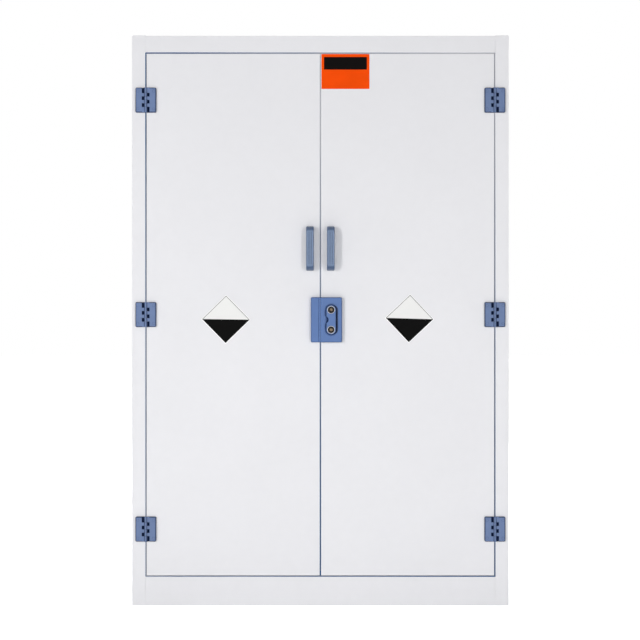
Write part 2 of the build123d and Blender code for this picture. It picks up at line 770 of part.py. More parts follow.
# ---- Labels, bare of any print -------------------------------------------------------------
with BuildPart() as notice_label:
    with BuildSketch(front_face):
        with Locations(
            (
                door_inner + notice_inset[0] + notice_width / 2,
                door_top - notice_inset[1] - notice_height / 2,
            )
        ):
            Rectangle(notice_width, notice_height)
    extrude(amount=label_thickness)
write(notice_label, "notice_label")

for side_name, (place_x, place_z, tilt) in diamond_places.items():
    with BuildPart() as diamond_label:
        with BuildSketch(front_face):
            with Locations((place_x, place_z)):
                Rectangle(diamond_side, diamond_side, rotation=45 + tilt)
        extrude(amount=label_thickness)
    write(diamond_label, f"diamond_label_{side_name}")
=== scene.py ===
"""Dresses the two-door reagent cabinet: finishes for every part, weld beads, trim and the studio."""

import json
import logging
import math
from dataclasses import dataclass, replace
from enum import Enum

import bmesh
import bpy
from mathutils import Matrix, Vector


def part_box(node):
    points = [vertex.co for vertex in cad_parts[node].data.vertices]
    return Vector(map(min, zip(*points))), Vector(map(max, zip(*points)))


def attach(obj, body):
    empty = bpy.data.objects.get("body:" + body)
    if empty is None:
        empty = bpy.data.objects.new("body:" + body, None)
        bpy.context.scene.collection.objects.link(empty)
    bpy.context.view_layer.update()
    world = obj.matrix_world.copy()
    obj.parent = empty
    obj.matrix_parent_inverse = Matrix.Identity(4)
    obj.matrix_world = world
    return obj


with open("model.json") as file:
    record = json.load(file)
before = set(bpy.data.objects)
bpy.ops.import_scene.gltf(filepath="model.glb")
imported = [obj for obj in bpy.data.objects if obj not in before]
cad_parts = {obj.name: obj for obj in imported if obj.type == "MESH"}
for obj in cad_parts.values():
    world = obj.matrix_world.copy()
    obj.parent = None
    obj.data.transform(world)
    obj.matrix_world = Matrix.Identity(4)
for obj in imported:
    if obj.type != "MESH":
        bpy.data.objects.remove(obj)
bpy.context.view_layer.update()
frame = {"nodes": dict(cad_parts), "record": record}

Place = tuple[float, float, float]
Colour = tuple[float, float, float]
Mesh = bmesh.types.BMesh
Material = bpy.types.Material
Socket = bpy.types.NodeSocket
Value = Socket | float | Colour

LOG = logging.getLogger("reagent_cabinet")
MM = 0.001
WHITE = (1.0, 1.0, 1.0)
PLASTIC_IOR = 1.49
NOISE_SPREAD = (0.3, 0.7)  # nearly all values of a smooth noise lie between these


# ---- Node graph ----------------------------------------------------------------------------
class Blend(Enum):
    """How two colours are mixed."""

    MIX = "MIX"
    MULTIPLY = "MULTIPLY"


class Nodes:
    """A node tree, with short ways to add nodes and to join them."""

    def __init__(self, tree: bpy.types.NodeTree) -> None:
        """Empty the tree.

        Args:
            tree: the tree that the nodes go into.
        """
        self.tree = tree
        self.tree.nodes.clear()

    def add(self, kind: str, **settings: object) -> bpy.types.Node:
        """Add a node.

        Args:
            kind: its type, without the start that all shader nodes share.
            settings: its settings that aren't sockets.

        Returns:
            The node.
        """
        node = self.tree.nodes.new(f"ShaderNode{kind}")
        for name, value in settings.items():
            setattr(node, name, value)
        return node

    def feed(self, target: Socket, source: Value) -> None:
        """Join a socket to another, or give it a plain value.

        Args:
            target: the input socket.
            source: an output socket, a number or a colour.
        """
        if isinstance(source, Socket):
            self.tree.links.new(source, target)
        elif isinstance(source, tuple) and target.type == "RGBA":
            target.default_value = (*source, 1.0)
        else:
            target.default_value = source

    def math(self, operation: str, first: Value, second: Value = 0.0) -> Socket:
        """One step of arithmetic.

        Args:
            operation: the Math node's operation.
            first: first value.
            second: second value.

        Returns:
            The value output.
        """
        node = self.add("Math", operation=operation)
        self.feed(node.inputs[0], first)
        self.feed(node.inputs[1], second)
        return node.outputs["Value"]

    def span(
        self, value: Value, low: float, high: float, to_low: float = 0.0, to_high: float = 1.0
    ) -> Socket:
        """Map a range to another, held at its ends.

        Args:
            value: what is mapped.
            low: start of the range.
            high: end of the range.
            to_low: result at the start.
            to_high: result at the end.

        Returns:
            The result's output.
        """
        node = self.add("MapRange")
        ends = {"From Min": low, "From Max": high, "To Min": to_low, "To Max": to_high}
        for name, end in ends.items():
            node.inputs[name].default_value = end
        self.feed(node.inputs["Value"], value)
        return node.outputs["Result"]


class Graph(Nodes):
    """A material's nodes, round one shader."""

    def __init__(self, name: str) -> None:
        """Start a material with one shader and its output.

        Args:
            name: the material's name.
        """
        self.material = bpy.data.materials.new(name)
        self.material.use_nodes = True
        super().__init__(self.material.node_tree)
        self.shader = self.add("BsdfPrincipled")
        self.feed(self.add("OutputMaterial").inputs["Surface"], self.shader.outputs["BSDF"])

    def set(self, **values: Value) -> None:
        """Feed the shader's own sockets.

        Args:
            values: socket names, with underscores for spaces, and what each one gets.
        """
        for name, value in values.items():
            self.feed(self.shader.inputs[name.replace("_", " ")], value)

    def place(
        self, centre: Place = (0.0, 0.0, 0.0), turn: float = 0.0, stretch: Place = (1.0, 1.0, 1.0)
    ) -> Socket:
        """Object coordinates about a centre, turned about Y.

        Args:
            centre: the point that becomes the pattern's origin, in metres.
            turn: angle about Y, in radians.
            stretch: how many times longer the pattern becomes along each axis.

        Returns:
            The vector output.
        """
        mapping = self.add("Mapping", vector_type="TEXTURE")
        mapping.inputs["Location"].default_value = centre
        mapping.inputs["Rotation"].default_value = (0.0, turn, 0.0)
        mapping.inputs["Scale"].default_value = stretch
        self.feed(mapping.inputs["Vector"], self.add("TexCoord").outputs["Object"])
        return mapping.outputs["Vector"]

    def split(self, vector: Socket) -> bpy.types.bpy_prop_collection:
        """Take a vector apart.

        Args:
            vector: the vector.

        Returns:
            Its X, Y and Z outputs.
        """
        node = self.add("SeparateXYZ")
        self.feed(node.inputs["Vector"], vector)
        return node.outputs

    def noise(self, size: float, detail: float = 2.0, stretch: Place = (1.0, 1.0, 1.0)) -> Socket:
        """Smooth noise with features of about the given size.

        Args:
            size: feature size in metres.
            detail: octaves of finer noise.
            stretch: how many times longer the features are along each axis.

        Returns:
            The noise's factor output.
        """
        node = self.add("TexNoise")
        self.feed(node.inputs["Scale"], 1.0 / size)
        self.feed(node.inputs["Detail"], detail)
        self.feed(node.inputs["Vector"], self.place(stretch=stretch))
        return node.outputs["Fac"]

    def vary(self, noise: Socket, least: float, most: float) -> Socket:
        """Map a smooth noise to a range that it fills.

        Args:
            noise: the noise.
            least: result where it is low.
            most: result where it is high.

        Returns:
            The result's output.
        """
        return self.span(noise, *NOISE_SPREAD, least, most)

    def length(self, first: Value, second: Value) -> Socket:
        """Length of a line from its extents along two axes.

        Args:
            first: extent along one axis.
            second: extent along the other.

        Returns:
            The length's output.
        """
        squares = (self.math("POWER", extent, 2.0) for extent in (first, second))
        return self.math("SQRT", self.math("ADD", *squares))

    def reach(self, centre: Place, half_pitch: float, joined: bool = False) -> Socket:
        """Distance in the plane of the front from two points, one above the other.

        Args:
            centre: the place midway between them.
            half_pitch: how far each point is from the centre.
            joined: whether the line between them counts as near too.

        Returns:
            The distance output.
        """
        parts = self.split(self.place(centre))
        along = self.math("SUBTRACT", self.math("ABSOLUTE", parts["Z"]), half_pitch)
        if joined:
            along = self.math("MAXIMUM", along, 0.0)
        return self.length(parts["X"], along)

    def bevels(self) -> Socket:
        """Mask of the faces that lie aslant between the front and the sides.

        Returns:
            The mask.
        """
        normal = self.split(self.add("TexCoord").outputs["Normal"])
        frontal = self.math("ABSOLUTE", normal["Y"])
        off_front = self.span(frontal, 0.97, 0.85)
        off_side = self.span(frontal, 0.2, 0.5)
        return self.math("MULTIPLY", off_front, off_side)

    def mix(self, factor: Value, first: Value, second: Value, blend: Blend = Blend.MIX) -> Socket:
        """Mix two colours.

        Args:
            factor: share of the second.
            first: first colour.
            second: second colour.
            blend: how they are mixed.

        Returns:
            The colour output.
        """
        node = self.add("Mix", data_type="RGBA", blend_type=blend.value)
        sockets = [socket for socket in node.inputs if socket.enabled]
        for socket, source in zip(sockets, (factor, first, second)):
            self.feed(socket, source)
        return next(socket for socket in node.outputs if socket.enabled)

    def edges(self, radius: float) -> tuple[Socket, Socket]:
        """Rounded normal of a small bevel, and a mask of where it differs from the flat face.

        Args:
            radius: the bevel's radius in metres.

        Returns:
            The rounded normal, and the mask from 0 on flats to 1 on edges.
        """
        bevel = self.add("Bevel", samples=6)
        self.feed(bevel.inputs["Radius"], radius)
        agreement = self.add("VectorMath", operation="DOT_PRODUCT")
        self.feed(agreement.inputs[0], bevel.outputs["Normal"])
        self.feed(agreement.inputs[1], self.add("NewGeometry").outputs["True Normal"])
        return bevel.outputs["Normal"], self.span(agreement.outputs["Value"], 0.995, 0.80)

    def crevices(self, distance: float, clear: float = 0.75, hidden: float = 0.15) -> Socket:
        """How hidden each point is, from 0 in the open to 1 in a deep slot.

        Args:
            distance: how far the search reaches, in metres.
            clear: share of open sky at which the mask is 0.
            hidden: share of open sky at which the mask is 1.

        Returns:
            The mask.
        """
        node = self.add("AmbientOcclusion", samples=8)
        self.feed(node.inputs["Distance"], distance)
        return self.span(node.outputs["AO"], clear, hidden)

    def bump(self, height: Socket, depth: float, normal: Socket | None = None) -> Socket:
        """Relief from a height, on top of another normal.

        Args:
            height: height from 0 to 1.
            depth: depth of the relief in metres.
            normal: the normal that it is laid over.

        Returns:
            The normal output.
        """
        node = self.add("Bump")
        self.feed(node.inputs["Strength"], 1.0)
        self.feed(node.inputs["Distance"], depth)
        self.feed(node.inputs["Height"], height)
        if normal is not None:
            self.feed(node.inputs["Normal"], normal)
        return node.outputs["Normal"]


# ---- Finishes ------------------------------------------------------------------------------
@dataclass(frozen=True)
class PlasticFinish:
    """Plastic with drifting colour, fine grain, edges pale with wear or dark with painted shade, and
    painted shade in slots.
    """

    name: str
    colour: Colour
    # Colour of the edges: paler where it stands for wear, darker where it is painted shade on edges,
    # bevels and ends.
    wear_and_shade_colour: Colour
    roughness: float = 0.42
    rough_spread: tuple[float, float] = (-0.05, 0.06)
    scuff_size: float = 4.0 * MM
    scuff_stretch: Place = (1.0, 1.0, 9.0)
    gloss: float = 0.3
    drift: float = 0.03
    cloud_size: float = 350.0 * MM
    mottle_size: float = 20.0 * MM
    grain_size: float = 0.8 * MM
    grain_depth: float = 0.05 * MM
    edge_radius: float = 0.6 * MM
    wear_and_shade_share: float = 0.4
    wear_size: float = 12.0 * MM
    wear_spread: tuple[float, float] = (0.35, 0.65)
    # Painted shade on the faces that lie aslant, such as chamfers.
    bevel_shade: float = 0.0
    # Painted shade in slots and crevices, found by ambient occlusion, which also takes out the gloss
    # there.
    slot_shade: float = 0.0
    slot_tint: Colour = (0.02, 0.05, 0.12)  # shares of the colour that a deep slot keeps
    slot_reach: float = 9.0 * MM
    slot_clear: float = 0.85
    slot_hidden: float = 0.45

    def tint(self, graph: Graph, colour: Socket) -> Socket:
        """Change the colour where this finish differs from plain plastic.

        Args:
            graph: the material's nodes.
            colour: the plain colour's output.

        Returns:
            The changed colour's output.
        """
        return colour

    def build(self) -> Material:
        """Make the material.

        Returns:
            The material.
        """
        graph = Graph(self.name)
        graph.set(IOR=PLASTIC_IOR, Specular_IOR_Level=self.gloss)
        rounded, edge = graph.edges(self.edge_radius)
        cloud = graph.vary(graph.noise(self.cloud_size, 3.0), 1.0 - self.drift, 1.0 + self.drift)
        fine_drift = self.drift / 2
        mottle = graph.vary(graph.noise(self.mottle_size, 4.0), 1.0 - fine_drift, 1.0 + fine_drift)
        colour = graph.mix(1.0, self.colour, graph.math("MULTIPLY", cloud, mottle), Blend.MULTIPLY)
        # Edges paled by wear or darkened by painted shade, in patches.
        wear = graph.span(graph.noise(self.wear_size, 3.0), *self.wear_spread)
        wear_and_shade = graph.math("MULTIPLY", edge, wear)
        colour = graph.mix(graph.math("MULTIPLY", wear_and_shade, self.wear_and_shade_share), colour, self.wear_and_shade_colour)
        # Painted shade on the aslant bevels.
        if self.bevel_shade > 0.0:
            shade = graph.math("MULTIPLY", graph.bevels(), self.bevel_shade)
            colour = graph.mix(shade, colour, self.wear_and_shade_colour)
        # Painted shade in slots, with their gloss taken out.
        if self.slot_shade > 0.0:
            slots = graph.crevices(self.slot_reach, self.slot_clear, self.slot_hidden)
            shade = graph.math("MULTIPLY", slots, self.slot_shade)
            deep = tuple(part * share for part, share in zip(self.colour, self.slot_tint))
            colour = graph.mix(shade, colour, deep)
            graph.set(Specular_IOR_Level=graph.span(shade, 0.0, 1.0, self.gloss, 0.0))
        scuffs = graph.noise(self.scuff_size, 3.0, self.scuff_stretch)
        graph.set(
            Base_Color=self.tint(graph, colour),
            Roughness=graph.vary(scuffs, *(self.roughness + part for part in self.rough_spread)),
            Normal=graph.bump(graph.noise(self.grain_size), self.grain_depth, rounded),
        )
        return graph.material


@dataclass(frozen=True)
class HandleFinish(PlasticFinish):
    """Handle plastic, with painted shade towards both ends."""

    end_length: float = 11.0 * MM
    end_blend: float = 1.5 * MM
    end_shade: float = 0.45

    def tint(self, graph: Graph, colour: Socket) -> Socket:
        """Paint shade on the ends.

        Args:
            graph: the material's nodes.
            colour: the plain colour's output.

        Returns:
            The changed colour's output.
        """
        low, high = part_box("left_handle")
        parts = graph.split(graph.place((0.0, 0.0, (low.z + high.z) / 2)))
        start = (high.z - low.z) / 2 - self.end_length
        along = graph.math("ABSOLUTE", parts["Z"])
        # Painted shade on both ends of the handle.
        ends = graph.span(along, start, start + self.end_blend, 0.0, self.end_shade)
        return graph.mix(ends, colour, self.wear_and_shade_colour)


@dataclass(frozen=True)
class LockCaseFinish(PlasticFinish):
    """Lock case plastic, with a painted shadow along one side of the face plate."""

    painted_shadow_colour: Colour = (0.004, 0.010, 0.035)
    painted_shadow_offset: float = 6.3 * MM
    painted_shadow_blend: float = 0.6 * MM
    painted_shadow_strength: float = 0.85

    def tint(self, graph: Graph, colour: Socket) -> Socket:
        """Paint the shadow beside the face plate.

        Args:
            graph: the material's nodes.
            colour: the plain colour's output.

        Returns:
            The changed colour's output.
        """
        low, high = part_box("lock_faceplate")
        radius = (high.x - low.x) / 2
        centre = ((low.x + high.x) / 2 + self.painted_shadow_offset, 0.0, (low.z + high.z) / 2)
        reach = graph.reach(centre, (high.z - low.z) / 2 - radius, joined=True)
        blend = self.painted_shadow_blend
        # Painted shadow in the face plate's outline moved to one side; the plate itself hides the
        # rest.
        painted_shadow = graph.span(reach, radius + blend, radius - blend, 0.0, self.painted_shadow_strength)
        return graph.mix(painted_shadow, colour, self.painted_shadow_colour)


@dataclass(frozen=True)
class MetalFinish:
    """Metal with drawn lines, smudges, rounded edges and tarnish in its hollows."""

    name: str
    colour: Colour
    tarnish: Colour
    roughness: float = 0.28
    rough_spread: tuple[float, float] = (-0.08, 0.12)
    smudge: float = 0.5
    smudge_size: float = 6.0 * MM
    smudge_spread: tuple[float, float] = (0.4, 0.7)
    hollow_reach: float = 4.0 * MM
    hollow_share: float = 0.8
    line_size: float = 0.4 * MM
    line_stretch: Place = (1.0, 1.0, 12.0)
    line_depth: float = 0.008 * MM
    edge_radius: float = 0.25 * MM

    def surface(self) -> tuple[Graph, Socket]:
        """Make the material and the colour that it shows.

        Returns:
            The graph, and the colour's output.
        """
        graph = Graph(self.name)
        rounded, _ = graph.edges(self.edge_radius)
        smudges = graph.span(graph.noise(self.smudge_size, 4.0), *self.smudge_spread)
        smudges = graph.math("MULTIPLY", smudges, self.smudge)
        colour = graph.mix(smudges, self.colour, self.tarnish)
        hollows = graph.math("MULTIPLY", graph.crevices(self.hollow_reach), self.hollow_share)
        colour = graph.mix(hollows, colour, self.tarnish)
        lines = graph.noise(self.line_size, stretch=self.line_stretch)
        graph.set(
            Metallic=1.0,
            Base_Color=colour,
            Roughness=graph.vary(lines, *(self.roughness + part for part in self.rough_spread)),
            Normal=graph.bump(lines, self.line_depth, rounded),
        )
        return graph, colour

    def build(self) -> Material:
        """Make the material.

        Returns:
            The material.
        """
        return self.surface()[0].material


@dataclass(frozen=True)
class CylinderFinish(MetalFinish):
    """Metal of a lock cylinder, plain on one side of a circle and dark with painted shade on the
    other.
    """

    painted_shade_black: Colour = (0.008, 0.008, 0.009)
    painted_shade_gloss: float = 0.1
    bright_radius: float = 9.7 * MM
    painted_shade_radius: float = 9.55 * MM
    rim_radius: float = 11.2 * MM

    def build(self) -> Material:
        """Make the material.

        Returns:
            The material.
        """
        low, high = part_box("lock_sleeves")
        graph, colour = self.surface()
        middle = ((low.x + high.x) / 2, 0.0, (low.z + high.z) / 2)
        reach = graph.reach(middle, (high.z - low.z) / 2 - self.rim_radius)
        # Painted shade: dark, with almost no gloss, on one side of the circle.
        painted_shade = graph.span(reach, self.bright_radius, self.painted_shade_radius)
        graph.set(
            Base_Color=graph.mix(painted_shade, colour, self.painted_shade_black),
            Metallic=graph.span(painted_shade, 0.0, 1.0, 1.0, 0.0),
            Specular_IOR_Level=self.painted_shade_gloss,
        )
        return graph.material


@dataclass(frozen=True)
class GapFinish:
    """Blue edging in the gaps, paled by painted light to a share that differs from corner to corner
    of the front.
    """

    name: str = "frame_edging"
    deep: Colour = (0.004, 0.080, 0.230)
    painted_light_colour: Colour = (0.60, 0.61, 0.66)
    # Shares of painted light at the lower and upper corners of the front, spread between them.
    lower_left: float = 0.6
    lower_right: float = 0.05
    upper_left: float = 0.1
    upper_right: float = 1.1
    patches: float = 0.2
    patch_size: float = 300.0 * MM
    sharpness: float = 1.2
    gloss: float = 0.08
    rough_range: tuple[float, float] = (0.5, 0.65)
    rough_size: float = 5.0 * MM
    grain_size: float = 1.0 * MM
    grain_depth: float = 0.03 * MM

    def build(self) -> Material:
        """Make the material.

        Returns:
            The material.
        """
        low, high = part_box("top_rail")
        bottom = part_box("plinth_rail")[1].z
        graph = Graph(self.name)
        parts = graph.split(graph.place())
        # Painted light, whose share is spread from corner to corner with some random patches.
        lower = graph.span(parts["X"], low.x, high.x, self.lower_left, self.lower_right)
        upper = graph.span(parts["X"], low.x, high.x, self.upper_left, self.upper_right)
        rise = graph.span(parts["Z"], bottom, low.z)
        growth = graph.math("MULTIPLY", graph.math("SUBTRACT", upper, lower), rise)
        patch = graph.vary(graph.noise(self.patch_size), -self.patches / 2, self.patches / 2)
        field = graph.math("ADD", graph.math("ADD", lower, growth), patch)
        painted_light = graph.math("POWER", graph.span(field, 0.0, 1.0), self.sharpness)
        graph.set(
            Base_Color=graph.mix(painted_light, self.deep, self.painted_light_colour),
            Roughness=graph.vary(graph.noise(self.rough_size), *self.rough_range),
            Normal=graph.bump(graph.noise(self.grain_size), self.grain_depth),
            IOR=PLASTIC_IOR,
            Specular_IOR_Level=self.gloss,
        )
        return graph.material


@dataclass(frozen=True)
class FilmFinish:
    """Printed film of a label: what all the labels share."""

    node: str
    ior: float = 1.5
    gloss: float = 0.03
    rough_range: tuple[float, float] = (0.40, 0.52)
    rough_size: float = 10.0 * MM
    ripple_size: float = 12.0 * MM
    ripple_depth: float = 0.05 * MM

    def begin(self) -> tuple[Graph, Vector, float]:
        """Start the material.

        Returns:
            The graph, the middle of the label, and the height of its top.
        """
        low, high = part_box(self.node)
        graph = Graph(f"{self.node}_film")
        graph.set(
            Roughness=graph.vary(graph.noise(self.rough_size), *self.rough_range),
            Normal=graph.bump(graph.noise(self.ripple_size), self.ripple_depth),
            IOR=self.ior,
            Specular_IOR_Level=self.gloss,
        )
        return graph, (low + high) / 2, high.z


@dataclass(frozen=True)
class NoticeFinish(FilmFinish):
    """Orange film with a plain dark panel along its top, bare of any print."""

    film: Colour = (0.93, 0.076, 0.002)
    fade_size: float = 50.0 * MM
    fade_range: tuple[float, float] = (0.95, 1.04)
    panel: Colour = (0.004, 0.003, 0.003)
    panel_width: float = 124.5 * MM
    panel_height: float = 36.8 * MM
    panel_from_top: float = 8.4 * MM
    panel_round: float = 2.2 * MM
    panel_blend: float = 0.3 * MM

    def build(self) -> Material:
        """Make the material.

        Returns:
            The material.
        """
        graph, middle, top = self.begin()
        centre = (middle.x, 0.0, top - self.panel_from_top - self.panel_height / 2)
        parts = graph.split(graph.place(centre))
        extents = []
        for axis, size in (("X", self.panel_width), ("Z", self.panel_height)):
            straight = size / 2 - self.panel_round
            beyond = graph.math("SUBTRACT", graph.math("ABSOLUTE", parts[axis]), straight)
            extents.append(graph.math("MAXIMUM", beyond, 0.0))
        reach = graph.length(*extents)
        panel = graph.span(reach, self.panel_round, self.panel_round - self.panel_blend)
        fade = graph.vary(graph.noise(self.fade_size, 3.0), *self.fade_range)
        film = graph.mix(1.0, self.film, fade, Blend.MULTIPLY)
        graph.set(Base_Color=graph.mix(panel, film, self.panel))
        return graph.material


@dataclass(frozen=True)
class DiamondFinish(FilmFinish):
    """White film with a thin grey line inside its edge and a plain dark lower half."""

    tilt: float = 0.0
    border: Colour = (0.97, 0.97, 0.97)
    film: Colour = (0.87, 0.87, 0.86)
    line: Colour = (0.06, 0.06, 0.06)
    dark: Colour = (0.003, 0.003, 0.003)
    side: float = 101.0 * MM
    line_inset: float = 2.8 * MM
    line_width: float = 1.3 * MM
    blend: float = 0.15 * MM

    def build(self) -> Material:
        """Make the material.

        Returns:
            The material.
        """
        graph, middle, _ = self.begin()
        centre = (middle.x, 0.0, middle.z)
        along_sides = graph.split(graph.place(centre, -math.radians(45 + self.tilt)))
        upright = graph.split(graph.place(centre, -math.radians(self.tilt)))
        across = graph.math("ABSOLUTE", along_sides["X"])
        reach = graph.math("MAXIMUM", across, graph.math("ABSOLUTE", along_sides["Z"]))
        blend = self.blend
        half_line = self.line_width / 2
        line_at = self.side / 2 - self.line_inset
        off_line = graph.math("ABSOLUTE", graph.math("SUBTRACT", reach, line_at))
        line = graph.span(off_line, half_line + blend, half_line - blend)
        inside = graph.span(reach, line_at + blend, line_at - blend)
        inked = graph.span(reach, line_at + half_line + blend, line_at + half_line - blend)
        lower = graph.span(upright["Z"], blend, -blend)
        colour = graph.mix(inside, self.border, self.film)
        colour = graph.mix(line, colour, self.line)
        colour = graph.mix(graph.math("MULTIPLY", inked, lower), colour, self.dark)
        graph.set(Base_Color=colour)
        return graph.material


Finish = PlasticFinish | MetalFinish | GapFinish | FilmFinish

FRAME_EDGING = GapFinish()
MEETING_EDGING = GapFinish(
    "meeting_edging", lower_left=0.0, lower_right=0.0, upper_left=1.2, upper_right=1.2, sharpness=2.0,
)
WHITE_SHEET = PlasticFinish(
    "white_sheet", (0.80, 0.80, 0.826), (0.70, 0.70, 0.74), roughness=0.40, drift=0.012,
    grain_size=2.0 * MM, grain_depth=0.015 * MM, wear_and_shade_share=0.3,
)
TRAY_SHEET = PlasticFinish(
    "tray_sheet", (0.76, 0.76, 0.775), (0.66, 0.66, 0.70), roughness=0.46, drift=0.02,
    grain_size=2.0 * MM, grain_depth=0.02 * MM,
)
BLUE_BAR = PlasticFinish(
    "blue_bar", (0.125, 0.235, 0.52), (0.25, 0.36, 0.62), grain_depth=0.02 * MM,
)
# The darker second colours of these three plastics are painted shade on their edges and bevels.
HINGE_PLASTIC = PlasticFinish(
    "hinge_plastic", (0.131, 0.194, 0.362), (0.030, 0.045, 0.095), roughness=0.48, drift=0.06,
    edge_radius=1.2 * MM, wear_and_shade_share=0.8, bevel_shade=0.75,
    slot_shade=0.97, slot_clear=0.93, slot_hidden=0.60,
)
HANDLE_PLASTIC = HandleFinish(
    "handle_plastic", (0.180, 0.250, 0.390), (0.06, 0.10, 0.19), roughness=0.45, drift=0.05,
    edge_radius=1.2 * MM, wear_and_shade_share=0.75, bevel_shade=0.6, slot_shade=0.6, slot_reach=14.0 * MM,
)
LOCK_PLASTIC = LockCaseFinish(
    "lock_plastic", (0.098, 0.183, 0.418), (0.06, 0.11, 0.26), roughness=0.44, drift=0.04,
    edge_radius=1.2 * MM, wear_and_shade_share=0.7, bevel_shade=0.7, slot_shade=0.9, slot_reach=12.0 * MM,
    slot_clear=0.82, slot_hidden=0.70,
)
KEEPER_PLASTIC = replace(LOCK_PLASTIC, name="keeper_plastic", slot_shade=0.3, painted_shadow_strength=0.0)
PLATE_PLASTIC = replace(LOCK_PLASTIC, name="plate_plastic", painted_shadow_strength=0.0)
STEEL = MetalFinish("plain_steel", (0.55, 0.55, 0.56), (0.30, 0.30, 0.31))
BRIGHT_RIM = CylinderFinish(
    "bright_rim", (0.42, 0.43, 0.47), (0.22, 0.22, 0.23), roughness=0.34, smudge=0.3,
)
# Its near-black tarnish, in smudges and hollows, is partly real tarnish and partly painted shade of
# the keyhole.
KEY_BRASS = CylinderFinish(
    "key_brass", (0.24, 0.18, 0.12), (0.010, 0.009, 0.008), roughness=0.42, smudge=0.9,
    bright_radius=3.6 * MM, painted_shade_radius=5.2 * MM,
)


# ---- Sub-assemblies ------------------------------------------------------------------------
def settle(mesh: Mesh, name: str) -> bpy.types.Mesh:
    """Write a bmesh in a fixed order, since a bevel leaves the order to chance.

    Args:
        mesh: the shape; it is freed.
        name: the name of what is written.

    Returns:
        The same shape, the same in each run.
    """
    verts = sorted(mesh.verts, key=lambda vert: tuple(vert.co))
    ranks = {vert: rank for rank, vert in enumerate(verts)}
    faces = []
    for face in mesh.faces:
        ring = [ranks[vert] for vert in face.verts]
        start = ring.index(min(ring))
        faces.append(ring[start:] + ring[:start])
    data = bpy.data.meshes.new(name)
    data.from_pydata([vert.co for vert in verts], [], sorted(faces))
    mesh.free()
    return data


def add_piece(name: str, mesh: Mesh, body: str, material: Material) -> None:
    """Turn a finished bmesh into a piece that rides on a body.

    Args:
        name: the piece's name.
        mesh: its shape, in place; it is freed.
        body: the body that it moves with.
        material: its finish.
    """
    data = settle(mesh, name)
    data.materials.append(material)
    piece = bpy.data.objects.new(name, data)
    bpy.context.scene.collection.objects.link(piece)
    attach(piece, body)
    LOG.info("%s: %d faces on %s", name, len(data.polygons), body)


def dress(finish: Finish, *nodes: str) -> Material:
    """Make a finish and give it to nodes of the frame.

    Args:
        finish: the finish.
        nodes: the nodes' names.

    Returns:
        The material.
    """
    material = finish.build()
    for name in nodes:
        mesh = frame["nodes"][name].data
        mesh.materials.clear()
        mesh.materials.append(material)
        LOG.info("%s: %s", name, material.name)
    return material


def nodes_of(slot: str) -> list[str]:
    """Nodes of the frame that have a material slot of the record.

    Args:
        slot: the slot.

    Returns:
        The nodes' names.
    """
    return [part["node"] for part in frame["record"]["subparts"] if part["material_slot"] == slot]


def edges_of(made: dict) -> list[bmesh.types.BMEdge]:
    """Edges of a shape that has just been made.

    Args:
        made: what the bmesh operator returned.

    Returns:
        The edges, each once.
    """
    return list(dict.fromkeys(edge for vert in made["verts"] for edge in vert.link_edges))


def round_edges(mesh: Mesh, edges: list[bmesh.types.BMEdge], width: float) -> None:
    """Round some edges of a mesh.

    Args:
        mesh: the mesh.
        edges: its edges to round.
        width: width of the rounding on each side.
    """
    bmesh.ops.bevel(
        mesh, geom=edges, offset=width, offset_type="OFFSET", segments=2, profile=0.5,
        affect="EDGES", material=-1,
    )


def edging(mesh: Mesh, low: Place, high: Place, rounding: float) -> None:
    """Add a straight strip with rounded edges.

    Args:
        mesh: the mesh that it is added to.
        low: its lowest corner.
        high: its highest corner.
        rounding: width of its rounded edges.
    """
    size = Vector(high) - Vector(low)
    middle = (Vector(high) + Vector(low)) / 2
    shape = Matrix.Translation(middle) @ Matrix.Diagonal((*size, 1.0))
    made = bmesh.ops.create_cube(mesh, size=1.0, matrix=shape)
    round_edges(mesh, edges_of(made), rounding)


